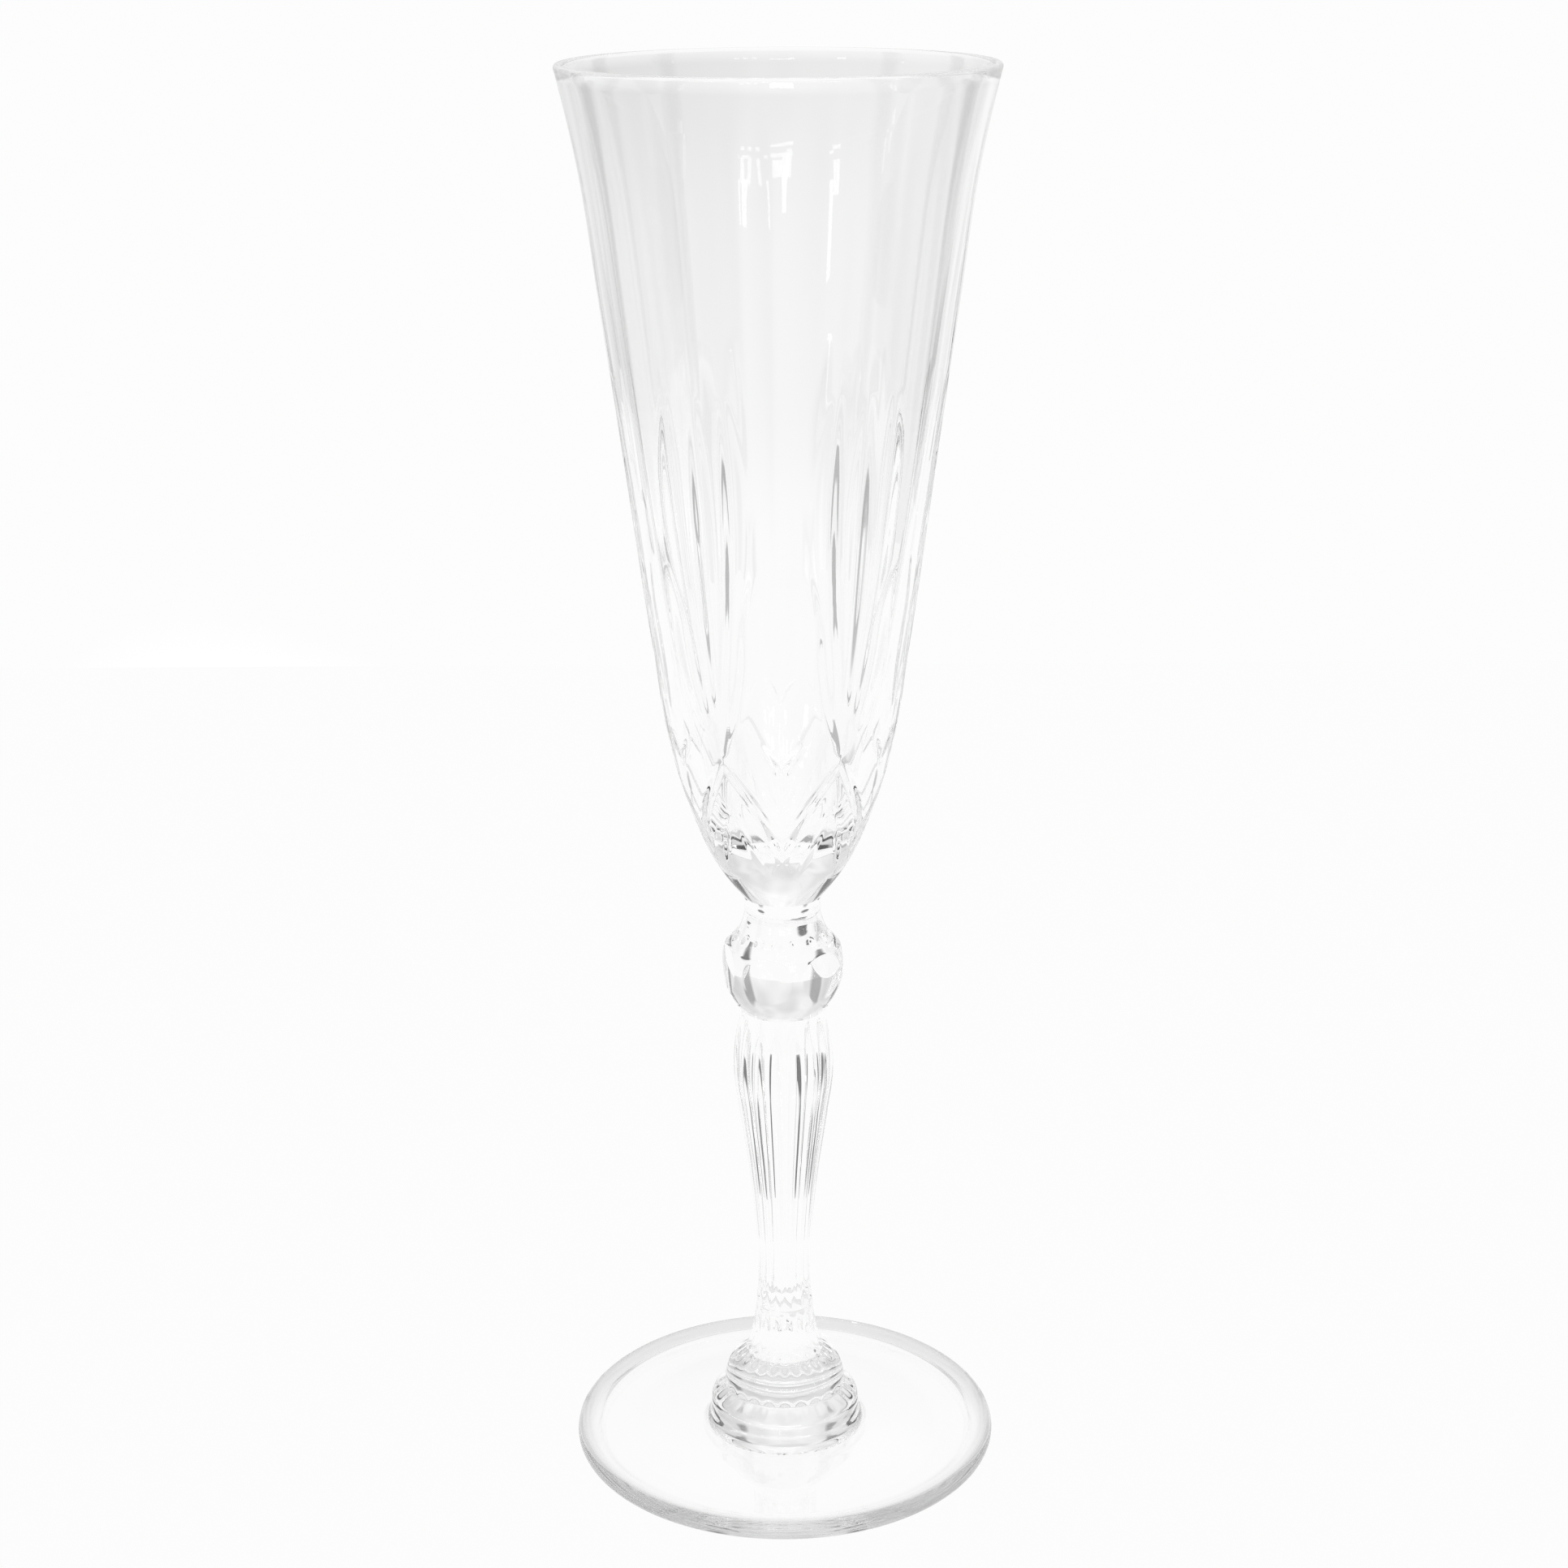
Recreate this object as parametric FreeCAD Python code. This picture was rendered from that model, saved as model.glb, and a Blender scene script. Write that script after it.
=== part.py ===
import FreeCAD, Part
import math
import os

# A clear glass champagne flute with a cut bowl, a faceted knop and a fluted stem.
# It is six pieces of glass, each shaped alone and fused butt to butt while hot:
# foot, foot boss, stem, knop, collar and bowl. Lengths are in millimetres, +Z is up,
# and the origin is the centre of the face that the flute rests on.

Vector = FreeCAD.Vector
AXIS = Vector(0, 0, 1)

# Overall size
HEIGHT = 210.0
RIM_R = 30.5
FOOT_R = 32.5

# Heights of the five fused joints, from the foot up, and the radius of each joint face
BOSS_Z = 3.0
BOSS_R = 12.8
STEM_Z = 23.0
STEM_FOOT_R = 4.4
KNOP_Z = 72.0
WAIST_R = 6.3
COLLAR_Z = 86.0
COLLAR_R = 6.1
BOWL_Z = 90.0
NECK_R = 5.8

# Foot: a dished disc with a round bead at its edge
BEAD_R = 1.6
BEAD_W = 3.8
DISH_Z = 2.3
REST_R = 24.0
HOLLOW_Z = 0.8

# Foot boss: a neck with thumb flutes over two steps whose edges are scalloped
UPPER_STEP_R = 6.5
UPPER_STEP_Z = 14.6
LOWER_STEP_R = 9.9
LOWER_STEP_Z = 8.6
LEDGE_DR = 0.6
LEDGE_DZ = 0.4
SCALLOPS = 24
SCALLOP_SHARE = 0.12
SCALLOP_DEPTH = 2.0
THUMB_FLUTE_R = 1.25

# Stem: an inverted baluster with hollow flutes
FLUTES = 16
FLUTE_PHASE = -7.5
FLUTE_DEPTH = 0.11
STEM_MAX_R = 7.6
STEM_MAX_Z = 62.5
STEM_MIN_R = 4.0
STEM_MIN_Z = 29.0

# Knop: a turned ball with six flat facets and a ring of thumb cuts on its shoulder
FACETS = 6
FACET_PHASE = -16.0
FACET_R = 8.35
KNOP_R = 9.2
KNOP_MAX_Z = 79.5
THUMB_R = 1.3
THUMB_RING_R = 7.75
THUMB_Z = 84.6

# Bowl: wall thickness at the lip, and height of the inside bottom
LIP = 1.2
FLOOR_Z = 98.0

# Bowl cuts: six lancets at 0, 60 ... degrees, with a fan of five hollow cuts between each two.
# A fan cut runs from near its foot to a round tip: (degrees from the fan's centre and height
# of its foot, degrees and height of its tip, radius of the tip, how far its axis is lifted).
REPEATS = 6
STEP = 360.0 / REPEATS
FAN_CUTS = (
    (0.0, 119.0, 0.0, 167.0, 1.3, 0.75),
    (4.5, 123.0, 13.0, 162.0, 1.5, 0.85),
    (8.5, 120.5, 21.0, 141.0, 1.5, 0.8),
)
# The cutter's point stays just clear of the glass.
FOOT_LIFT = 0.12
# A mitre cut is a V made by a wheel's edge: (degrees and height of one end, degrees and
# height of the other, depth below the straight line between them).
MITRE_CUTS = (
    (33.0, 116.0, -6.0, 99.0, 0.45),
    (11.0, 118.5, -1.5, 112.5, 0.5),
    (30.0, 106.5, 14.0, 96.5, 0.45),
)
MITRE_TAN = 1.2
WHEEL_HALF = 2.5


def point(r, z):
    """A point of an outline, in the plane of +X and +Z."""
    return Vector(r, 0, z)


def line(a, b):
    return Part.LineSegment(point(*a), point(*b)).toShape()


def arc(a, middle, b):
    return Part.Arc(point(*a), point(*middle), point(*b)).toShape()


def spline(points, **tangents):
    curve = Part.BSplineCurve()
    curve.interpolate(Points=[point(r, z) for r, z in points], **tangents)
    return curve


def turned(edges):
    """The solid that a closed outline sweeps about the axis."""
    return Part.Face(Part.Wire(edges)).revolve(Vector(0, 0, 0), AXIS, 360)


def polar(r, degrees, z):
    """A point at an angle from the front, which faces -Y, positive towards +X."""
    turn = math.radians(degrees)
    return Vector(r * math.sin(turn), -r * math.cos(turn), z)


def only_solid(shape):
    solids = shape.Solids
    if len(solids) != 1 or not solids[0].isValid():
        raise ValueError("a piece came out as %d solids" % len(solids))
    return solids[0]


def foot():
    """The disc. Its underside is hollow, so that it rests on an outer ring."""
    bead_in = FOOT_R - BEAD_W
    outline = [
        line((0, HOLLOW_Z), (BOSS_R, HOLLOW_Z)),
        line((BOSS_R, HOLLOW_Z), (REST_R, 0)),
        line((REST_R, 0), (FOOT_R - BEAD_R, 0)),
        arc((FOOT_R - BEAD_R, 0), (FOOT_R, BEAD_R), (FOOT_R - BEAD_R, 2 * BEAD_R)),
        arc((FOOT_R - BEAD_R, 2 * BEAD_R), (bead_in + 0.9, DISH_Z + 0.45), (bead_in, DISH_Z)),
        arc((bead_in, DISH_Z), (21.0, DISH_Z + 0.1), (BOSS_R, BOSS_Z)),
        line((BOSS_R, BOSS_Z), (0, BOSS_Z)),
        line((0, BOSS_Z), (0, HOLLOW_Z)),
    ]
    return only_solid(turned(outline))


def hollow_cutter(foot_point, tip_point, tip_r):
    """A long cone with a ball end: sharp at its foot, round at its tip."""
    along = tip_point - foot_point
    length = along.Length
    side = tip_r * math.sqrt(0.5)
    outline = [
        line((0, 0), (tip_r, length)),
        arc((tip_r, length), (side, length + side), (0, length + tip_r)),
        line((0, length + tip_r), (0, 0)),
    ]
    cutter = turned(outline)
    cutter.Placement = FreeCAD.Placement(foot_point, FreeCAD.Rotation(AXIS, along))
    return cutter


def scallop_cutters(edge_r, edge_z):
    """Upright drills that nibble the edge of a step, sized by the edge's own radius."""
    drill_r = edge_r * SCALLOP_SHARE
    ring_r = edge_r + drill_r * 0.75
    low_z = edge_z - SCALLOP_DEPTH
    turns = [(i + 0.5) * 360.0 / SCALLOPS for i in range(SCALLOPS)]
    return [Part.makeCylinder(drill_r, 2 * SCALLOP_DEPTH, polar(ring_r, t, low_z)) for t in turns]


def foot_boss():
    """The stem's spread base: a neck, then two domed steps with scalloped edges."""
    lower_edge = (LOWER_STEP_R, LOWER_STEP_Z)
    lower_ledge = (LOWER_STEP_R - LEDGE_DR, LOWER_STEP_Z + LEDGE_DZ)
    upper_edge = (UPPER_STEP_R, UPPER_STEP_Z)
    upper_ledge = (UPPER_STEP_R - LEDGE_DR, UPPER_STEP_Z + LEDGE_DZ)
    outline = [
        line((0, BOSS_Z), (BOSS_R, BOSS_Z)),
        arc((BOSS_R, BOSS_Z), (11.9, 3.5), (11.6, 4.6)),
        arc((11.6, 4.6), (11.2, 7.2), lower_edge),
        line(lower_edge, lower_ledge),
        arc(lower_ledge, (8.4, 12.6), upper_edge),
        line(upper_edge, upper_ledge),
        arc(upper_ledge, (4.95, 18.6), (STEM_FOOT_R, STEM_Z)),
        line((STEM_FOOT_R, STEM_Z), (0, STEM_Z)),
        line((0, STEM_Z), (0, BOSS_Z)),
    ]
    cutters = scallop_cutters(*lower_edge) + scallop_cutters(*upper_edge)
    for i in range(FLUTES):
        turn = FLUTE_PHASE + i * 360.0 / FLUTES
        start = polar(STEM_FOOT_R, turn, STEM_Z - 0.5)
        end = polar(UPPER_STEP_R - 0.5, turn, UPPER_STEP_Z + THUMB_FLUTE_R + 0.6)
        cutters.append(hollow_cutter(start, end, THUMB_FLUTE_R))
    return only_solid(turned(outline).cut(cutters))


def fluted_ring(r, z, depth):
    """One cross-section of the stem: hollow arcs between sharp ridges."""
    pitch = 360.0 / FLUTES
    edges = []
    for i in range(FLUTES):
        start = FLUTE_PHASE + i * pitch
        hollow = r * (1 - depth)
        arc_points = (
            polar(r, start, z),
            polar(hollow, start + pitch / 2, z),
            polar(r, start + pitch, z),
        )
        edges.append(Part.Arc(*arc_points).toShape())
    return Part.Wire(edges)


def stem():
    """The fluted baluster. Its flutes fade out at both ends, where it meets round faces."""
    sections = (
        (STEM_FOOT_R, STEM_Z, 0.0),
        (4.15, 25.5, 0.06),
        (STEM_MIN_R, STEM_MIN_Z, FLUTE_DEPTH),
        (4.35, 36.0, FLUTE_DEPTH),
        (5.4, 46.0, FLUTE_DEPTH),
        (6.8, 55.5, FLUTE_DEPTH),
        (STEM_MAX_R, STEM_MAX_Z, FLUTE_DEPTH),
        (7.25, 67.0, FLUTE_DEPTH),
        (6.65, 70.0, 0.06),
        (WAIST_R, KNOP_Z, 0.0),
    )
    rings = [fluted_ring(r, z, depth) for r, z, depth in sections]
    return only_solid(Part.makeLoft(rings, True, False))


def knop():
    """The ball. Facets are planes that a six-sided prism leaves on it."""
    neck = spline([(COLLAR_R, COLLAR_Z), (6.9, 84.2), (8.6, 82.3)]).toShape()
    ball = spline([(8.6, 82.3), (KNOP_R, KNOP_MAX_Z), (8.4, 75.4), (WAIST_R, KNOP_Z)]).toShape()
    outline = [
        line((0, COLLAR_Z), (COLLAR_R, COLLAR_Z)),
        neck,
        ball,
        line((WAIST_R, KNOP_Z), (0, KNOP_Z)),
        line((0, KNOP_Z), (0, COLLAR_Z)),
    ]
    corner_r = FACET_R / math.cos(math.pi / FACETS)
    pitch = 360.0 / FACETS
    corners = [polar(corner_r, FACET_PHASE + (i + 0.5) * pitch, KNOP_Z) for i in range(FACETS + 1)]
    prism = Part.Face(Part.makePolygon(corners)).extrude(AXIS * (COLLAR_Z - KNOP_Z))
    cutters = []
    for i in range(FLUTES):
        at = polar(THUMB_RING_R, FLUTE_PHASE + i * 360.0 / FLUTES, THUMB_Z)
        cutters.append(Part.makeSphere(THUMB_R, at))
    return only_solid(turned(outline).common(prism).cut(cutters))


def collar():
    """The short waisted wafer between knop and bowl."""
    outline = [
        line((0, COLLAR_Z), (COLLAR_R, COLLAR_Z)),
        arc((COLLAR_R, COLLAR_Z), (5.65, 88.2), (NECK_R, BOWL_Z)),
        line((NECK_R, BOWL_Z), (0, BOWL_Z)),
        line((0, BOWL_Z), (0, COLLAR_Z)),
    ]
    return only_solid(turned(outline))


def bowl_outside():
    """The outside of the bowl, from its neck to just under the lip."""
    shape = [
        (NECK_R, BOWL_Z),
        (9.2, 94.5),
        (13.4, 103.6),
        (16.0, 112.5),
        (18.7, 129.5),
        (22.0, 154.5),
        (25.2, 178.5),
        (27.6, 196.0),
        (RIM_R, HEIGHT - LIP / 2),
    ]
    return spline(shape)


def bowl_inside():
    """The inside of the bowl, from the lip down to the middle of its bottom."""
    shape = [
        (RIM_R - LIP, HEIGHT - LIP / 2),
        (26.3, 196.0),
        (23.6, 178.5),
        (20.2, 154.5),
        (15.9, 129.5),
        (12.2, 112.5),
        (8.0, 101.5),
        (0, FLOOR_Z),
    ]
    return spline(shape)


def on_wall(curve, degrees, z, lift=0.0):
    """The point of the bowl's outside at an angle and a height, lifted off it by lift."""
    low, high = curve.FirstParameter, curve.LastParameter
    for _ in range(40):
        middle = (low + high) / 2
        if curve.value(middle).z < z:
            low = middle
        else:
            high = middle
    return polar(curve.value(low).x + lift, degrees, z)


def mitre_cutter(a, b, depth):
    """The edge of a V-edged wheel that dips by depth midway between two points of the wall."""
    chord = b - a
    middle = (a + b) * 0.5
    wheel_r = chord.Length ** 2 / (8 * depth)
    side = chord.cross(Vector(middle.x, middle.y, 0)).normalize()
    out = side.cross(chord).normalize()
    centre = middle + out * (wheel_r - depth)
    shoulder_r = wheel_r - WHEEL_HALF / MITRE_TAN
    half_1 = Part.makeCone(wheel_r, shoulder_r, WHEEL_HALF, centre, side)
    half_2 = Part.makeCone(wheel_r, shoulder_r, WHEEL_HALF, centre, side * -1)
    return half_1.fuse(half_2).removeSplitter()


def bowl_cutters(outside):
    """Every cutter of the bowl's pattern, each beside its mirror image."""
    cutters = []
    for i in range(REPEATS):
        lancet = i * STEP
        fan = lancet + STEP / 2
        for foot_deg, foot_z, tip_deg, tip_z, tip_r, lift in FAN_CUTS:
            for side in (1, -1) if tip_deg else (1,):
                start = on_wall(outside, fan + side * foot_deg, foot_z, FOOT_LIFT)
                end = on_wall(outside, fan + side * tip_deg, tip_z, lift)
                cutters.append(hollow_cutter(start, end, tip_r))
        for deg_1, z_1, deg_2, z_2, depth in MITRE_CUTS:
            for side in (1, -1):
                a = on_wall(outside, lancet + side * deg_1, z_1)
                b = on_wall(outside, lancet + side * deg_2, z_2)
                cutters.append(mitre_cutter(a, b, depth))
    return cutters


def bowl():
    """The tall bowl: a turned wall with a thick bottom, then the cuts."""
    outside = bowl_outside()
    lip_z = HEIGHT - LIP / 2
    outline = [
        line((0, BOWL_Z), (NECK_R, BOWL_Z)),
        outside.toShape(),
        arc((RIM_R, lip_z), (RIM_R - LIP / 2, HEIGHT), (RIM_R - LIP, lip_z)),
        bowl_inside().toShape(),
        line((0, FLOOR_Z), (0, BOWL_Z)),
    ]
    return only_solid(turned(outline).cut(bowl_cutters(outside)))


PIECES = {
    "foot": foot,
    "foot_boss": foot_boss,
    "stem": stem,
    "knop": knop,
    "collar": collar,
    "bowl": bowl,
}

os.makedirs("parts", exist_ok=True)
for name, build in PIECES.items():
    shape = build()
    shape.exportStep("parts/%s.step" % name)
    box = shape.BoundBox
    print(name, "z %.2f to %.2f" % (box.ZMin, box.ZMax), "volume %.0f mm3" % shape.Volume)
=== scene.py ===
import math

import bpy
import numpy as np
from mathutils import Matrix, Vector

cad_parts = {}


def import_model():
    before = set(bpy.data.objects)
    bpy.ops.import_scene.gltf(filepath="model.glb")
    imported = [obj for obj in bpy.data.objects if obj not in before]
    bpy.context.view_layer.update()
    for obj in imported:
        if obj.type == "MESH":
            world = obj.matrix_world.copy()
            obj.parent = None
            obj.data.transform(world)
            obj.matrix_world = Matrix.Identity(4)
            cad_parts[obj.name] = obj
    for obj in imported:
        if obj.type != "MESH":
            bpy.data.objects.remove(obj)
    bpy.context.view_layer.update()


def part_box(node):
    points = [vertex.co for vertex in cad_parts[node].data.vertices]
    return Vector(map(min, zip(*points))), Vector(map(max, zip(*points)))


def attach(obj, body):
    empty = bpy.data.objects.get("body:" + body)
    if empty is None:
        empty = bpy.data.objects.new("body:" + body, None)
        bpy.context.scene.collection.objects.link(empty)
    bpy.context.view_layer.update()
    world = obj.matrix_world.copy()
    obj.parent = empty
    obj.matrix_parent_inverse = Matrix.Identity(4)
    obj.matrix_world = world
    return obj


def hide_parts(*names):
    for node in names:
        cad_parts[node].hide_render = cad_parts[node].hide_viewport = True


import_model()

# A clear glass champagne flute on a pale floor in soft light. The fused faces between its six
# pieces and its overall size come from the CAD frame. Outlines are (radius, height) points in
# millimetres, and the meshes are in metres.
MM = 0.001
NODES = ("foot", "foot_boss", "stem", "knop", "collar", "bowl")
BOX_MM = {name: tuple(np.array(corner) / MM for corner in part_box(name)) for name in NODES}
LOW_Z = {name: low[2] for name, (low, high) in BOX_MM.items()}
HIGH_Y = {name: high[1] for name, (low, high) in BOX_MM.items()}
HEIGHT = BOX_MM["bowl"][1][2]
RIM_R = HIGH_Y["bowl"]
FOOT_R = HIGH_Y["foot"]
BOSS_R = HIGH_Y["foot_boss"]

# The meshes' columns of points round the axis, and the radius where an outline meets the axis
COLUMNS = 480
AXIS_R = 0.05

# Radii of the fused faces
STEM_FOOT_R = 4.4
WAIST_R = 6.3
COLLAR_R = 6.1
NECK_R = 5.8

REPEATS = 6
PERIOD = 360 / REPEATS
FLUTES = 16
FLUTE_PHASE = -7.5


# ---------------------------------------------------------------- outlines

FINE_STEPS = 4000


def through(points, step):
    """A smooth curve through the points, in short steps. step is their length, or a function
    of height that gives it."""
    p = np.array(points, float)
    t = np.concatenate([[0], np.cumsum(np.linalg.norm(np.diff(p, axis=0), axis=1))])
    slope = np.gradient(p, t, axis=0, edge_order=2 if len(p) > 2 else 1)
    fine = np.linspace(0, t[-1], FINE_STEPS)
    i = np.clip(np.searchsorted(t, fine, side="right") - 1, 0, len(p) - 2)
    h = (t[i + 1] - t[i])[:, None]
    u = ((fine - t[i])[:, None]) / h
    curve = (
        (2 * u**3 - 3 * u**2 + 1) * p[i]
        + (u**3 - 2 * u**2 + u) * h * slope[i]
        + (3 * u**2 - 2 * u**3) * p[i + 1]
        + (u**3 - u**2) * h * slope[i + 1]
    )
    gaps = np.linalg.norm(np.diff(curve, axis=0), axis=1)
    wanted = step(curve[1:, 1]) if callable(step) else np.full(len(gaps), step)
    count = np.concatenate([[0], np.cumsum(gaps / wanted)])
    at = np.linspace(0, count[-1], max(2, round(count[-1]) + 1))
    return np.stack([np.interp(at, count, curve[:, k]) for k in range(2)], axis=1)


def arc(centre, r, start, end, count):
    """Part of a circle in the outline's plane, from one angle to another, in degrees."""
    a = np.radians(np.linspace(start, end, count))
    return np.stack([centre[0] + r * np.cos(a), centre[1] + r * np.sin(a)], axis=1)


def joined(*parts):
    """Outlines end to end, each shared end point once."""
    out = [parts[0]]
    for part in parts[1:]:
        same = np.allclose(out[-1][-1], part[0], atol=1e-6)
        out.append(part[1:] if same else part)
    return np.concatenate(out)


def outward(outline):
    """The unit normal at each point of an outline, out of the glass. The outline runs with the
    glass on its left when radius points right and height up."""
    tangent = np.gradient(outline, axis=0)
    normal = np.stack([tangent[:, 1], -tangent[:, 0]], axis=1)
    return normal / np.maximum(np.linalg.norm(normal, axis=1), 1e-9)[:, None]


# ---------------------------------------------------------------- meshes

class Skin:
    """A closed mesh, made ring by ring about the axis."""

    def __init__(self):
        self.points, self.faces, self.materials, self.sharp = [], [], [], []
        self.count = 0
        self.last = None

    def add_points(self, p):
        self.points.append(p)
        first = self.count
        self.count += len(p)
        return np.arange(first, self.count)

    def add_faces(self, rows, material=0):
        self.faces.extend(rows.tolist())
        self.materials.extend([material] * len(rows))

    def ring(self, r, z, columns):
        """A ring of points, joined to the last one. r may differ from column to column."""
        turn = np.arange(columns) * 2 * math.pi / columns
        r, z = np.broadcast_to(r, columns), np.broadcast_to(z, columns)
        now = self.add_points(np.stack([r * np.sin(turn), -r * np.cos(turn), z], axis=1))
        if self.last is not None:
            self.bridge(self.last, now)
        self.last = now

    def bridge(self, low, high):
        """Faces between two rings. One of them may have twice as many points as the other."""
        low_next, high_next = np.roll(low, -1), np.roll(high, -1)
        if len(low) == len(high):
            self.add_faces(np.stack([low, low_next, high_next, high], axis=1))
        elif len(low) == 2 * len(high):
            middle, after = low[1::2], low_next[1::2]
            self.add_faces(np.stack([low[::2], middle, high], axis=1))
            self.add_faces(np.stack([middle, high_next, high], axis=1))
            self.add_faces(np.stack([middle, after, high_next], axis=1))
        else:
            middle, after = high[1::2], high_next[1::2]
            self.add_faces(np.stack([high[::2], low, middle], axis=1))
            self.add_faces(np.stack([low, low_next, middle], axis=1))
            self.add_faces(np.stack([low_next, after, middle], axis=1))

    def pole(self, z, material=0, up=True):
        """Closes the last ring to a point on the axis. up is False where the skin starts."""
        ring = self.last
        tip = self.add_points(np.array([[0, 0, z]]))[0]
        after = np.roll(ring, -1)
        tips = np.full(len(ring), tip)
        order = [ring, after, tips] if up else [after, ring, tips]
        self.add_faces(np.stack(order, axis=1), material)
        if material:
            self.sharp.append(ring)

    def object(self, name, materials):
        mesh = bpy.data.meshes.new(name)
        mesh.from_pydata((np.concatenate(self.points) * MM).tolist(), [], self.faces)
        for material in materials:
            mesh.materials.append(material)
        mesh.polygons.foreach_set("material_index", self.materials)
        mesh.polygons.foreach_set("use_smooth", [True] * len(self.faces))
        if self.sharp:
            ends = np.empty(len(mesh.edges) * 2, dtype=np.int64)
            mesh.edges.foreach_get("vertices", ends)
            ends = ends.reshape(-1, 2)
            flags = np.zeros(len(ends), dtype=bool)
            for ring in self.sharp:
                flags |= np.isin(ends, ring).all(axis=1)
            mesh.edges.foreach_set("use_edge_sharp", flags.tolist())
        mesh.update()
        piece = bpy.data.objects.new(name, mesh)
        bpy.context.collection.objects.link(piece)
        return piece


def turned(outline, columns, relief=None, caps=(True, True), thin=None):
    """A skin turned about the axis. relief(degrees, outline) gives how deep each point is cut
    along the outline's normal. caps says which ends are fused faces. From the outline's point
    number thin on, half the columns are enough."""
    normal = outward(outline)
    skin = Skin()
    degrees = np.arange(columns) * 360 / columns
    depth = relief(degrees, outline) if relief else np.zeros((len(outline), 1))
    for i, (r, z) in enumerate(outline):
        n = columns
        d = depth[i]
        if thin and i >= thin:
            n = columns // 2
            d = d[::2] if len(d) > 1 else d
        skin.ring(r - d * normal[i, 0], z - d * normal[i, 1], n)
        if i == 0:
            skin.pole(z, 1 if caps[0] else 0, up=False)
            skin.last = np.arange(n)
    skin.pole(outline[-1][1], 1 if caps[1] else 0)
    return skin


# ---------------------------------------------------------------- cut relief

def wrapped(degrees):
    return (degrees + 180) % 360 - 180


def leaf_cut(degrees, outline, foot, widest, tip, half_w):
    """Depth of a hollow cut with a pointed foot and tip. foot, widest and tip are (degrees,
    height), and half_w is half the cut's width at its widest."""
    r, z = outline[:, :1], outline[:, 1:]
    low = np.clip((z - foot[1]) / (widest[1] - foot[1]), 0, 1) * math.pi / 2
    high = np.clip((z - widest[1]) / (tip[1] - widest[1]), 0, 1) * math.pi / 2
    middle = (
        foot[0]
        + (widest[0] - foot[0]) * np.sin(low)
        + (tip[0] - widest[0]) * (1 - np.cos(high))
    )
    width = half_w * np.sin(low) * np.cos(high)
    across = np.radians(wrapped(degrees[None, :] - middle)) * r
    bottom = HOLLOW_SLOPE * width
    off = np.clip(across / np.maximum(width, 1e-6), -1, 1)
    return bottom * np.cos(off * math.pi / 2) ** 2


def mitre_cut(degrees, outline, a, b, depth, slope):
    """Depth of a V cut with a wheel's edge, deepest midway between a and b, each given as
    (degrees, height)."""
    r, z = outline[:, :1], outline[:, 1:]
    share = (z - a[1]) / (b[1] - a[1])
    middle = a[0] + (b[0] - a[0]) * share
    mean_r = float(np.interp((a[1] + b[1]) / 2, *np.sort(outline, axis=0).T[::-1]))
    lean = math.atan2(math.radians(abs(b[0] - a[0])) * mean_r, abs(b[1] - a[1]))
    across = np.abs(np.radians(wrapped(degrees[None, :] - middle)) * r) * math.cos(lean)
    bottom = depth * (1 - (2 * share - 1) ** 2)
    return np.maximum(bottom - across / slope, 0)


# A hollow cut of a fan: degrees from the fan's centre and height of its foot, of its widest
# place and of its tip, then half its width. Its bottom is as deep as a share of that width.
HOLLOW_SLOPE = 0.23
FAN_POLISH = 4
FAN_CUTS = (
    ((0.0, 119.0), (0.0, 151.0), (0.0, 171.0), 1.8),
    ((3.5, 119.5), (12.6, 154.0), (10.5, 171.0), 1.9),
    ((5.0, 117.0), (15.5, 133.0), (20.5, 144.0), 1.7),
)
MITRE_CUTS = (
    (33.0, 116.5, -6.0, 98.5, 0.55),
    (11.0, 118.5, -1.5, 112.0, 0.35),
    (30.0, 107.0, 12.0, 95.8, 0.4),
    (18.0, 104.5, -10.0, 95.5, 0.3),
)
MITRE_SLOPE = 1.5
MITRE_POLISH = 3


def polished(depth, passes):
    """Cut relief with its edges rounded, as acid polishing leaves them."""
    for _ in range(passes):
        depth = (np.roll(depth, 1, axis=1) + 2 * depth + np.roll(depth, -1, axis=1)) / 4
    return depth


def bowl_relief(degrees, outline):
    """Every cut of the bowl, the deepest one winning."""
    fans = np.zeros((len(outline), len(degrees)))
    mitres = np.zeros((len(outline), len(degrees)))
    for i in range(REPEATS):
        lancet = i * PERIOD
        fan = lancet + PERIOD / 2
        for *places, half_w in FAN_CUTS:
            for side in (1, -1) if places[1][0] else (1,):
                ends = [(fan + side * turn, z) for turn, z in places]
                fans = np.maximum(fans, leaf_cut(degrees, outline, *ends, half_w))
        for deg_1, z_1, deg_2, z_2, deep in MITRE_CUTS:
            for side in (1, -1):
                a = (lancet + side * deg_1, z_1)
                b = (lancet + side * deg_2, z_2)
                mitres = np.maximum(mitres, mitre_cut(degrees, outline, a, b, deep, MITRE_SLOPE))
    return np.maximum(polished(fans, FAN_POLISH), polished(mitres, MITRE_POLISH))


# ---------------------------------------------------------------- pieces

LIP = 1.2
OPTIC_DEPTH = 0.022
# Waves round the inside of the wall: how many, how strong, and their phase
OPTIC_WAVES = ((24, 1.0, 0), (37, 0.6, 1), (15, 0.5, 2))
# The height above which the bowl has no cuts, so that half the columns are enough
FANS_TOP = 168


def optic(degrees, outline):
    """The faint upright waves that the mould leaves in the inside of the wall."""
    turn = np.radians(degrees)[None, :]
    waves = sum(strong * np.cos(count * turn + phase) for count, strong, phase in OPTIC_WAVES)
    fade = np.interp(outline[:, 1:], [115, 150, 195, 206], [0, 1, 1, 0])
    return OPTIC_DEPTH * fade * waves


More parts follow.
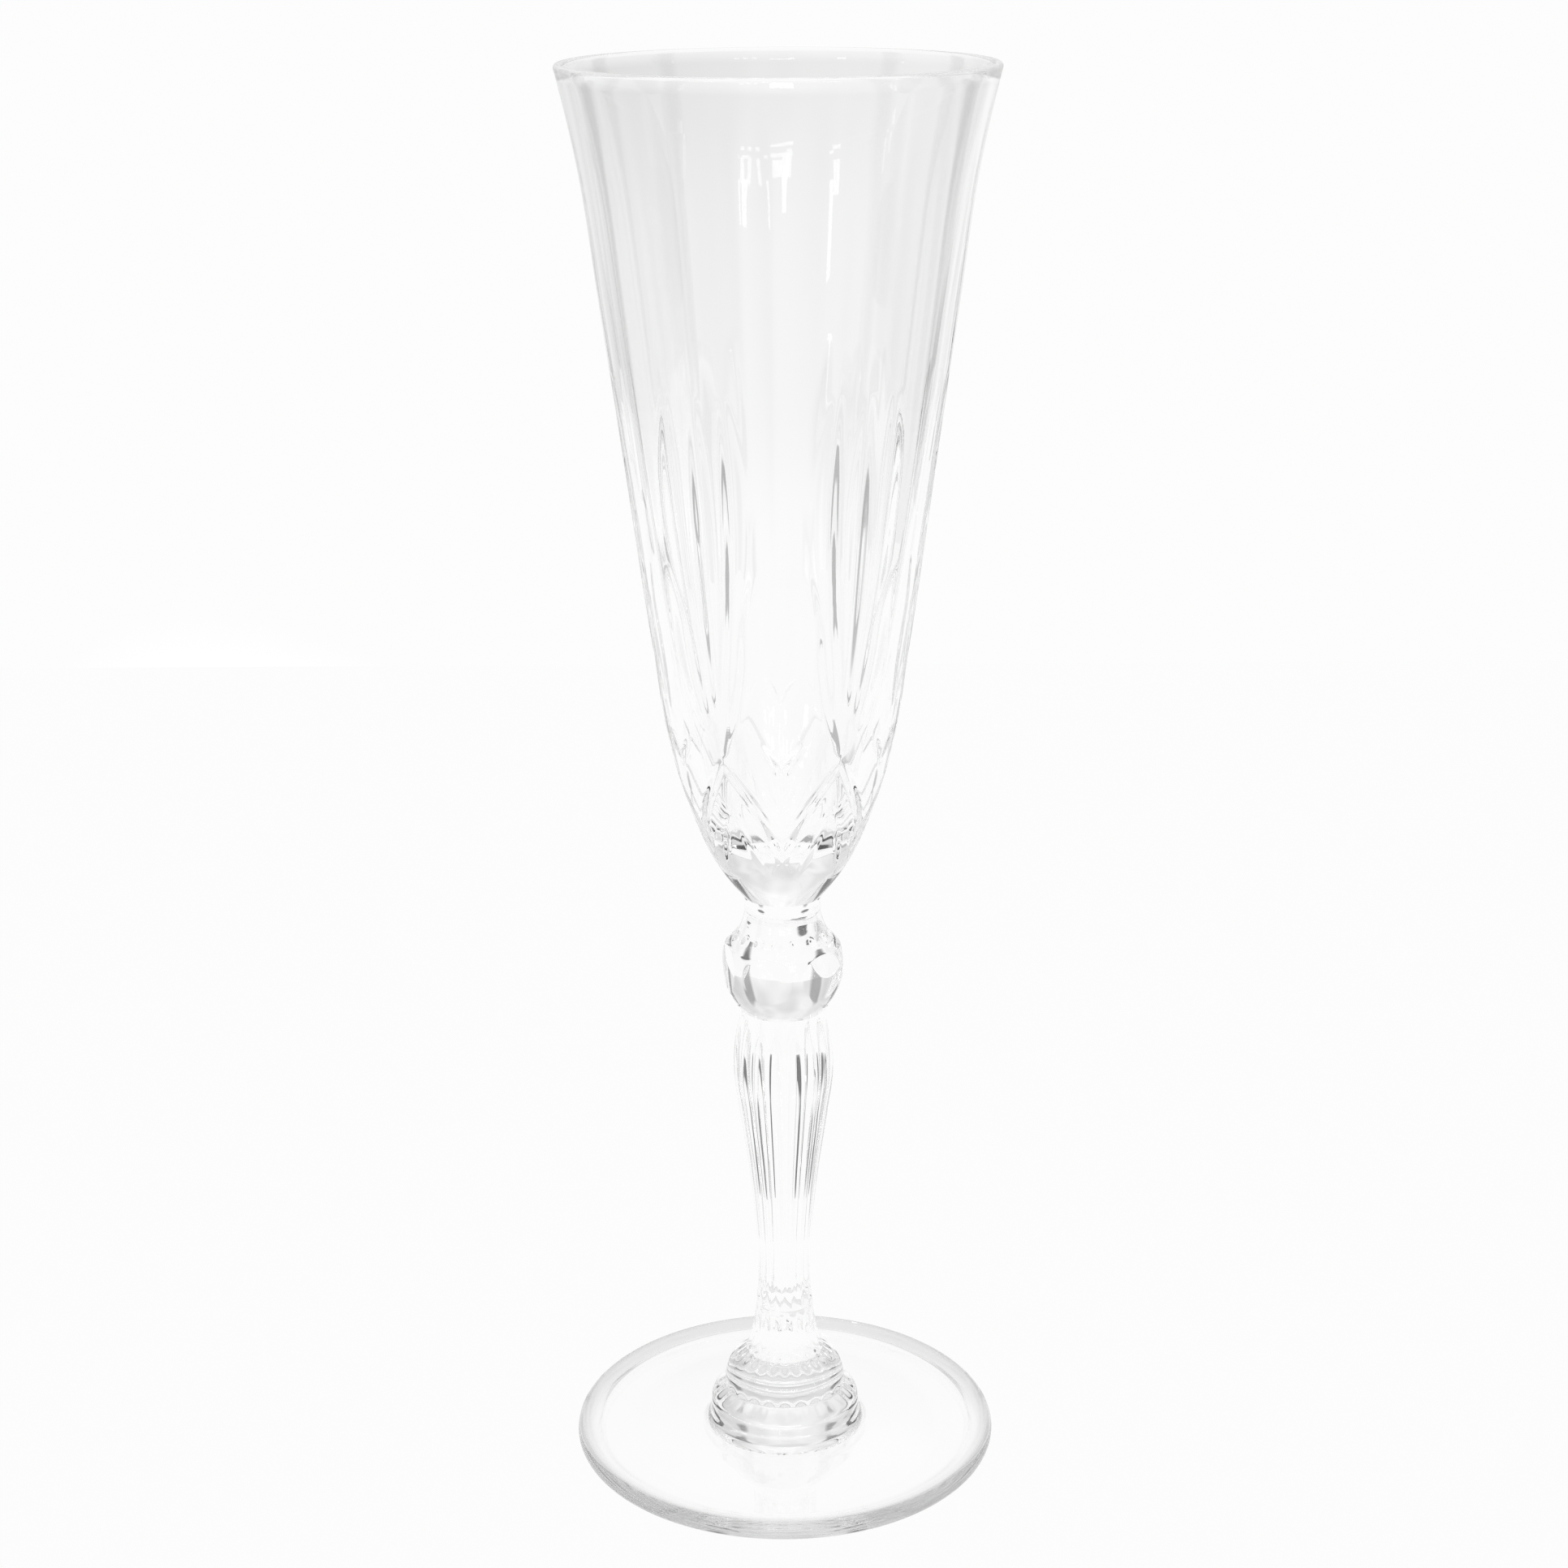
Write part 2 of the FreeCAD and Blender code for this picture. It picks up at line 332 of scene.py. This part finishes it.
def bowl(materials):
    lip_z = HEIGHT - LIP / 2
    outside = [
        (NECK_R, LOW_Z["bowl"]), (9.2, 94.5), (13.4, 103.6), (16.0, 112.5), (18.7, 129.5),
        (22.0, 154.5), (25.2, 178.5), (27.6, 196.0), (RIM_R, lip_z),
    ]
    inside = [
        (RIM_R - LIP, lip_z), (26.3, 196.0), (23.6, 178.5), (20.2, 154.5), (15.9, 129.5),
        (12.2, 112.5), (8.0, 101.5), (4.0, 98.9), (AXIS_R, 98.0),
    ]

    def wall_step(z):
        return np.interp(z, [94, 96, 120, 124, 166, 170], [0.45, 0.38, 0.38, 0.65, 0.9, 1.8])

    def well_step(z):
        return np.interp(z, [98, 104, 120], [0.5, 1.0, 2.2])

    wall = through(outside, wall_step)
    lip = arc((RIM_R - LIP / 2, lip_z), LIP / 2, 0, 180, 9)
    well = through(inside, well_step)
    outline = joined(wall, lip, well)
    half_from = int(np.searchsorted(wall[:, 1], FANS_TOP))
    well_from = len(wall) + len(lip)

    def relief(degrees, line):
        depth = np.zeros((len(line), len(degrees)))
        depth[:half_from] = bowl_relief(degrees, line[:half_from])
        depth[well_from:] = optic(degrees, line[well_from:])
        return depth

    skin = turned(outline, COLUMNS, relief, caps=(True, False), thin=half_from)
    return skin.object("bowl_cut", materials)


def collar(materials):
    line = through([(COLLAR_R, LOW_Z["collar"]), (5.65, 88.2), (NECK_R, LOW_Z["bowl"])], 0.3)
    return turned(line, COLUMNS // 2).object("collar_wafer", materials)


FACETS = 6
FACET_PHASE = -16
FACET_R = 8.35
THUMB_R = 1.3
THUMB_RING_R = 7.75
THUMB_Z = 84.6


def off_nearest(degrees, phase, count):
    """Degrees from the nearest of some equal places round the axis."""
    pitch = 360 / count
    return (degrees - phase + pitch / 2) % pitch - pitch / 2


def knop(materials):
    ball = through([(WAIST_R, LOW_Z["knop"]), (8.4, 75.4), (9.2, 79.5), (8.6, 82.3)], 0.25)
    neck = through([(8.6, 82.3), (6.9, 84.2), (COLLAR_R, LOW_Z["collar"])], 0.2)
    line = joined(ball, neck)

    def relief(degrees, outline):
        r, z = outline[:, :1], outline[:, 1:]
        plane = FACET_R / np.cos(np.radians(off_nearest(degrees, FACET_PHASE, FACETS)))
        facet = np.maximum(r - plane[None, :], 0)
        across = np.radians(off_nearest(degrees, FLUTE_PHASE, FLUTES))[None, :] * r
        reach = np.sqrt(across**2 + (r - THUMB_RING_R) ** 2 + (z - THUMB_Z) ** 2)
        return np.maximum(facet, np.maximum(THUMB_R - reach, 0))

    return turned(line, COLUMNS, relief).object("knop_ball", materials)


def flute_wave(degrees):
    """0 on each ridge between flutes and 1 in the middle of each flute."""
    u = ((degrees - FLUTE_PHASE) * FLUTES / 360) % 1
    return np.sin(math.pi * u)


# How deep the stem's flutes are, as a share of its radius
FLUTE_DEPTH = 0.06


def stem(materials):
    baluster = [
        (STEM_FOOT_R, LOW_Z["stem"]), (4.15, 25.5), (4.0, 29), (4.35, 36), (5.4, 46), (6.8, 55.5),
        (7.6, 62.5), (7.25, 67), (6.65, 70), (WAIST_R, LOW_Z["knop"]),
    ]

    def relief(degrees, outline):
        r, z = outline[:, :1], outline[:, 1:]
        fade = np.interp(z, [23.0, 27.0, 56.0, 68.0, 72.0], [0, 0.85, 1, 0.75, 0])
        return FLUTE_DEPTH * r * fade * flute_wave(degrees)[None, :]

    return turned(through(baluster, 0.45), COLUMNS, relief).object("stem_fluted", materials)


# The boss's two steps: the edge of each and the inner end of its ledge
LOWER_EDGE, LOWER_LEDGE = (9.9, 8.6), (9.3, 9.0)
UPPER_EDGE, UPPER_LEDGE = (6.5, 14.6), (6.0, 15.0)
SCALLOPS = 24
SCALLOP_DEPTH = 0.1


def foot_boss(materials):
    base = (BOSS_R, LOW_Z["foot_boss"])
    top = (STEM_FOOT_R, LOW_Z["stem"])
    line = joined(
        through([base, (11.9, 3.5), (11.6, 4.6), (11.2, 7.2), LOWER_EDGE], 0.25),
        through([LOWER_EDGE, LOWER_LEDGE], 0.15),
        through([LOWER_LEDGE, (8.4, 12.6), UPPER_EDGE], 0.25),
        through([UPPER_EDGE, UPPER_LEDGE], 0.15),
        through([UPPER_LEDGE, (4.95, 18.6), top], 0.25),
    )

    def relief(degrees, outline):
        z = outline[:, 1:]
        scallop = np.sin(np.radians(degrees) * SCALLOPS / 2)[None, :] ** 2
        low = np.exp(-(((z - LOWER_EDGE[1]) / 1.0) ** 2)) * SCALLOP_DEPTH
        high = np.exp(-(((z - UPPER_EDGE[1]) / 0.8) ** 2)) * SCALLOP_DEPTH
        neck = np.interp(z, [15.2, 16.0, 19.0, 22.5], [0, 0.42, 0.3, 0])
        return (low + high) * (1 - scallop) + neck * flute_wave(degrees + 180 / FLUTES)[None, :]

    return turned(line, COLUMNS, relief).object("boss_stepped", materials)


# The foot's bead, the dish inside it, and the hollow under the foot
BEAD_R = 1.6
BEAD_W = 3.8
DISH_Z = 2.3
HOLLOW_Z = 0.8
REST_R = 24.0


def foot(materials):
    bead_mid = FOOT_R - BEAD_R
    bead_in = FOOT_R - BEAD_W
    under = joined(
        through([(AXIS_R, HOLLOW_Z), (BOSS_R, HOLLOW_Z)], 1.2),
        through([(BOSS_R, HOLLOW_Z), (REST_R, 0.0)], 1.0),
        through([(REST_R, 0.0), (bead_mid, 0.0)], 1.0),
    )
    edge = arc((bead_mid, BEAD_R), BEAD_R, -90, 90, 25)
    dish = through([(bead_mid, 2 * BEAD_R), (bead_in + 0.9, DISH_Z + 0.45), (bead_in, DISH_Z)], 0.2)
    rise = through([(bead_in, DISH_Z), (21.0, DISH_Z + 0.1), (BOSS_R, LOW_Z["foot_boss"])], 0.6)
    outline = joined(under, edge, dish, rise)
    return turned(outline, COLUMNS // 2, caps=(False, True)).object("foot_disc", materials)


# ---------------------------------------------------------------- node helpers

def nodes_of(material):
    """A material's emptied node tree, and its new output node."""
    material.use_nodes = True
    tree = material.node_tree
    tree.nodes.clear()
    return tree, tree.nodes.new("ShaderNodeOutputMaterial")


def map_range(tree, value, before, after, smooth=False):
    """The socket of a value that is mapped, and clamped, from one range to another."""
    node = tree.nodes.new("ShaderNodeMapRange")
    if smooth:
        node.interpolation_type = "SMOOTHSTEP"
    node.inputs["From Min"].default_value = before[0]
    node.inputs["From Max"].default_value = before[1]
    node.inputs["To Min"].default_value = after[0]
    node.inputs["To Max"].default_value = after[1]
    tree.links.new(value, node.inputs["Value"])
    return node.outputs["Result"]


def maths(tree, operation, first, second=None):
    """The socket of a sum on one or two sockets. The second may be a plain number instead."""
    node = tree.nodes.new("ShaderNodeMath")
    node.operation = operation
    tree.links.new(first, node.inputs[0])
    if isinstance(second, float):
        node.inputs[1].default_value = second
    elif second is not None:
        tree.links.new(second, node.inputs[1])
    return node.outputs["Value"]


# ---------------------------------------------------------------- materials

# The roughness where a piece's skin is dullest
SMEAR = 0.03


def glass(name, ripple_mm, height_mm):
    """Clear glass, whose fire-polished skin is very slightly uneven."""
    material = bpy.data.materials.new(name)
    tree, out = nodes_of(material)
    shader = tree.nodes.new("ShaderNodeBsdfPrincipled")
    shader.inputs["Base Color"].default_value = (1, 1, 1, 1)
    shader.inputs["Transmission Weight"].default_value = 1.0
    shader.inputs["IOR"].default_value = 1.52
    place = tree.nodes.new("ShaderNodeTexCoord")
    noise = tree.nodes.new("ShaderNodeTexNoise")
    noise.inputs["Scale"].default_value = 1 / (ripple_mm * MM)
    noise.inputs["Detail"].default_value = 2.0
    noise.inputs["Roughness"].default_value = 0.4
    bump = tree.nodes.new("ShaderNodeBump")
    bump.inputs["Distance"].default_value = height_mm * MM
    bump.inputs["Strength"].default_value = 1.0
    link = tree.links.new
    link(place.outputs["Object"], noise.inputs["Vector"])
    smear = map_range(tree, noise.outputs["Fac"], (0.35, 0.75), (0.0, SMEAR))
    link(smear, shader.inputs["Roughness"])
    link(noise.outputs["Fac"], bump.inputs["Height"])
    link(bump.outputs["Normal"], shader.inputs["Normal"])
    link(shader.outputs["BSDF"], out.inputs["Surface"])
    return material


def painted_edge_shade(material, inner, outer, shade):
    """Makes glass greyer from one radius to another, both in millimetres: painted shade in the
    base colour, standing in for the contact shadow under the foot's bead."""
    tree = material.node_tree
    place = tree.nodes.new("ShaderNodeTexCoord")
    flat = tree.nodes.new("ShaderNodeMapping")
    flat.inputs["Scale"].default_value = (1, 1, 0)
    reach = tree.nodes.new("ShaderNodeVectorMath")
    reach.operation = "LENGTH"
    link = tree.links.new
    link(place.outputs["Object"], flat.inputs["Vector"])
    link(flat.outputs["Vector"], reach.inputs[0])
    radii = (inner * MM, outer * MM)
    fall = map_range(tree, reach.outputs["Value"], radii, (1.0, shade), smooth=True)
    # Painted shade: the base colour greys towards the rim.
    link(fall, tree.nodes["Principled BSDF"].inputs["Base Color"])


def fused():
    """The face where two pieces are fused: the glass is continuous there, so it doesn't show."""
    material = bpy.data.materials.new("fused_joint")
    tree, out = nodes_of(material)
    clear = tree.nodes.new("ShaderNodeBsdfTransparent")
    tree.links.new(clear.outputs["BSDF"], out.inputs["Surface"])
    return material


def matt(name, shade):
    material = bpy.data.materials.new(name)
    tree, out = nodes_of(material)
    shader = tree.nodes.new("ShaderNodeBsdfDiffuse")
    shader.inputs["Color"].default_value = (shade, shade, shade, 1)
    tree.links.new(shader.outputs["BSDF"], out.inputs["Surface"])
    return material


def lamp(name, strength):
    material = bpy.data.materials.new(name)
    tree, out = nodes_of(material)
    shader = tree.nodes.new("ShaderNodeEmission")
    shader.inputs["Strength"].default_value = strength
    tree.links.new(shader.outputs["Emission"], out.inputs["Surface"])
    return material


CLOTH_SHADE = 0.01
# How far in from a card's edge the cloth has its full cover, as a share of half its size
SOFT_EDGE = 0.45


def soft_card(name, cover):
    """A dark cloth that thins out to nothing at its edges, so that it leaves no hard lines.
    A cover of 1 hides all that is behind its middle."""
    material = bpy.data.materials.new(name)
    tree, out = nodes_of(material)
    place = tree.nodes.new("ShaderNodeTexCoord")
    centred = tree.nodes.new("ShaderNodeMapping")
    centred.inputs["Location"].default_value = (-1, -1, 0)
    centred.inputs["Scale"].default_value = (2, 2, 0)
    blob = tree.nodes.new("ShaderNodeTexGradient")
    blob.gradient_type = "SPHERICAL"
    clear = tree.nodes.new("ShaderNodeBsdfTransparent")
    cloth = tree.nodes.new("ShaderNodeBsdfDiffuse")
    cloth.inputs["Color"].default_value = (CLOTH_SHADE, CLOTH_SHADE, CLOTH_SHADE, 1)
    mix = tree.nodes.new("ShaderNodeMixShader")
    link = tree.links.new
    link(place.outputs["Generated"], centred.inputs["Vector"])
    link(centred.outputs["Vector"], blob.inputs["Vector"])
    edge = map_range(tree, blob.outputs["Fac"], (0.0, SOFT_EDGE), (0.0, cover), smooth=True)
    link(edge, mix.inputs["Fac"])
    link(clear.outputs["BSDF"], mix.inputs[1])
    link(cloth.outputs["BSDF"], mix.inputs[2])
    link(mix.outputs["Shader"], out.inputs["Surface"])
    return material


# ---------------------------------------------------------------- studio

# The camera: its place in metres, how far it looks down and leans in degrees, and its shift
CAMERA_AT = (0, -0.4012, 0.2371)
CAMERA_DOWN = 17.96
CAMERA_LEAN = -0.29
CAMERA_SHIFT = 0.0014
LENS_MM = 66.1
SENSOR_MM = 36


def camera():
    """Where the flute is seen from: above the rim, looking down at it."""
    data = bpy.data.cameras.new("camera")
    data.lens = LENS_MM
    data.sensor_width = SENSOR_MM
    data.shift_x = CAMERA_SHIFT
    tilt = Matrix.Rotation(math.radians(90 - CAMERA_DOWN), 3, "X")
    lean = Matrix.Rotation(math.radians(CAMERA_LEAN), 3, "Z")
    view = bpy.data.objects.new("camera", data)
    view.location = CAMERA_AT
    view.rotation_euler = (tilt @ lean).to_euler()
    bpy.context.collection.objects.link(view)
    bpy.context.scene.camera = view


def plane(name, size, location, facing, material):
    """A flat card with its front turned along facing."""
    w, h = size[0] / 2, size[1] / 2
    mesh = bpy.data.meshes.new(name)
    mesh.from_pydata([(-w, -h, 0), (w, -h, 0), (w, h, 0), (-w, h, 0)], [], [(0, 1, 2, 3)])
    mesh.materials.append(material)
    card = bpy.data.objects.new(name, mesh)
    card.location = location
    card.rotation_mode = "QUATERNION"
    card.rotation_quaternion = Vector(facing).to_track_quat("Z", "Y")
    bpy.context.collection.objects.link(card)
    return card


def beside(name, azimuth, distance, z, size, material):
    """An upright card round the flute, at degrees from straight behind it. The camera sees it
    only in the glass."""
    a = math.radians(azimuth)
    at = Vector((distance * math.sin(a), distance * math.cos(a), z))
    card = plane(name, size, at, (-at.x, -at.y, 0), material)
    card.visible_camera = False
    card.visible_diffuse = False
    card.visible_shadow = False
    return card


# The dark cards: how much each hides, its distance from the axis, the height of its middle, its
# own height, and (azimuth, width) for each card of the kind. Lengths are in metres.
FLAGS = {
    "far_flag": (1.0, 0.45, 0.2, 0.6, ((60, 0.14), (112, 0.14), (-60, 0.14), (-112, 0.14))),
    "middle_flag": (0.55, 0.25, 0.07, 0.17, ((-27, 0.05), (25, 0.05))),
    "near_flag": (0.85, 0.125, 0.014, 0.038, ((-30, 0.038), (28, 0.03))),
}


def flags():
    """Dark cards round the flute, which give clear glass its dark lines."""
    for name, (cover, distance, z, height, cards) in FLAGS.items():
        cloth = soft_card(name + "_cloth", cover)
        for azimuth, width in cards:
            card = beside(name, azimuth, distance, z, (width, height), cloth)
            # A near card is seen through the glass and not reflected in it.
            card.visible_glossy = name != "near_flag"


# The bright panes: their distance in metres, and (azimuth, elevation, width, height) in degrees
PANE_FAR = 2.0
PANE_STRENGTH = 4.0
PANES = (
    (117, 16, 6, 8), (157, 15, 2.5, 4), (162, 15, 2.5, 4), (167, 15, 2.5, 4),
    (182, 18.5, 14, 2.5), (187, 16, 3, 4), (215, 14, 5, 5), (250, 17, 7, 5),
)


def windows():
    """Bright panes on the camera's side of the room, reflected in the bowl."""
    pane = lamp("window_pane", PANE_STRENGTH)
    for azimuth, up, width, height in PANES:
        z = PANE_FAR * math.tan(math.radians(up))
        size = [2 * PANE_FAR * math.tan(math.radians(angle) / 2) for angle in (width, height)]
        beside("window", azimuth, PANE_FAR, z, size, pane)


# How bright the room's walls are, by the height of the direction: (sine of its elevation, shade)
ROOM = (
    (-1.0, 1.0), (-0.27, 1.0), (-0.17, 0.94), (-0.1, 0.88), (-0.04, 0.84), (0.1, 0.8),
    (0.4, 0.85), (1.0, 1.0),
)
# The walls dim from straight behind or in front to the sides: by the size of the direction's x,
# and from one share of their brightness to another
SIDE_X = (0.15, 0.8)
SIDE_SHADE = (1.0, 0.8)
# They are unevenly bright too: a noise's usual range, and the shares of brightness it gives
CLOUD_NOISE = (0.3, 0.7)
CLOUD_SHADE = (0.84, 1.12)
# The least brightness where the world lights the floor or is seen past the glass
EVEN_WHITE = 0.98


def walls_by_height(tree, z):
    """The socket of the room's shade, by the height of the direction."""
    walls = tree.nodes.new("ShaderNodeValToRGB")
    ramp = walls.color_ramp.elements
    ramp[0].color = (ROOM[0][1],) * 3 + (1,)
    ramp[1].color = (ROOM[-1][1],) * 3 + (1,)
    for height, shade in ROOM[1:-1]:
        ramp.new((height + 1) / 2).color = (shade, shade, shade, 1)
    tree.links.new(map_range(tree, z, (-1.0, 1.0), (0.0, 1.0)), walls.inputs["Fac"])
    return walls.outputs["Color"]


def room_shade(tree):
    """The socket of the shade that the glass sees in each direction."""
    place = tree.nodes.new("ShaderNodeTexCoord")
    axes = tree.nodes.new("ShaderNodeSeparateXYZ")
    clouds = tree.nodes.new("ShaderNodeTexNoise")
    clouds.inputs["Scale"].default_value = 3.0
    clouds.inputs["Detail"].default_value = 1.0
    tree.links.new(place.outputs["Generated"], axes.inputs["Vector"])
    tree.links.new(place.outputs["Generated"], clouds.inputs["Vector"])
    walls = walls_by_height(tree, axes.outputs["Z"])
    side = maths(tree, "ABSOLUTE", axes.outputs["X"])
    dim = map_range(tree, side, SIDE_X, SIDE_SHADE, smooth=True)
    blotch = map_range(tree, clouds.outputs["Fac"], CLOUD_NOISE, CLOUD_SHADE)
    return maths(tree, "MULTIPLY", maths(tree, "MULTIPLY", walls, dim), blotch)


def world():
    """A pale room. It is evenly white where the camera sees it past the glass and where it
    lights the floor, and the glass itself sees walls that darken upwards and to the sides."""
    sky = bpy.data.worlds.new("studio")
    bpy.context.scene.world = sky
    sky.use_nodes = True
    sky.cycles.sampling_method = "NONE"
    tree = sky.node_tree
    tree.nodes.clear()
    out = tree.nodes.new("ShaderNodeOutputWorld")
    back = tree.nodes.new("ShaderNodeBackground")
    back.inputs["Color"].default_value = (1, 1, 1, 1)
    rays = tree.nodes.new("ShaderNodeLightPath")
    plain = maths(tree, "MAXIMUM", rays.outputs["Is Camera Ray"], rays.outputs["Is Diffuse Ray"])
    white = maths(tree, "MULTIPLY", plain, EVEN_WHITE)
    level = maths(tree, "MAXIMUM", white, room_shade(tree))
    tree.links.new(level, back.inputs["Strength"])
    tree.links.new(back.outputs["Background"], out.inputs["Surface"])


FLOOR_SIZE = 0.9
FLOOR_SHADE = 0.995
# The floor lies this far below the foot, so that the two faces don't coincide.
FLOOR_DROP = 0.0002
# Light crosses many faces of glass before it reaches the camera.
BOUNCES = 512


def studio():
    matt_white = matt("pale_floor", FLOOR_SHADE)
    plane("floor", (FLOOR_SIZE, FLOOR_SIZE), (0, 0, -FLOOR_DROP), (0, 0, 1), matt_white)
    world()
    flags()
    windows()
    scene = bpy.context.scene
    scene.view_settings.view_transform = "Standard"
    scene.cycles.max_bounces = BOUNCES
    scene.cycles.transmission_bounces = BOUNCES
    scene.cycles.glossy_bounces = BOUNCES
    scene.cycles.transparent_max_bounces = BOUNCES


camera()
studio()

# The foot's edge greyed with painted shade, for the contact shadow under its bead: how far in from
# its rim the shade begins and is full, and the shade
EDGE_BEGINS = 2.4
EDGE_FULL = 0.6
PAINTED_EDGE_SHADE = 0.66

JOINT = fused()
# Each node's builder, and the width and height in millimetres of its skin's unevenness
PIECES = {
    "foot": (foot, 9.0, 0.004),
    "foot_boss": (foot_boss, 5.0, 0.004),
    "stem": (stem, 6.0, 0.004),
    "knop": (knop, 5.0, 0.004),
    "collar": (collar, 5.0, 0.003),
    "bowl": (bowl, 12.0, 0.006),
}
for node, (build, ripple_mm, height_mm) in PIECES.items():
    clear = glass(node + "_glass", ripple_mm, height_mm)
    if node == "foot":
        # The foot's rim gets painted shade in its base colour.
        painted_edge_shade(clear, FOOT_R - EDGE_BEGINS, FOOT_R - EDGE_FULL, PAINTED_EDGE_SHADE)
    piece = build([clear, JOINT])
    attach(piece, "root")
    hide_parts(node)
    piece.visible_diffuse = False
    piece.visible_shadow = False
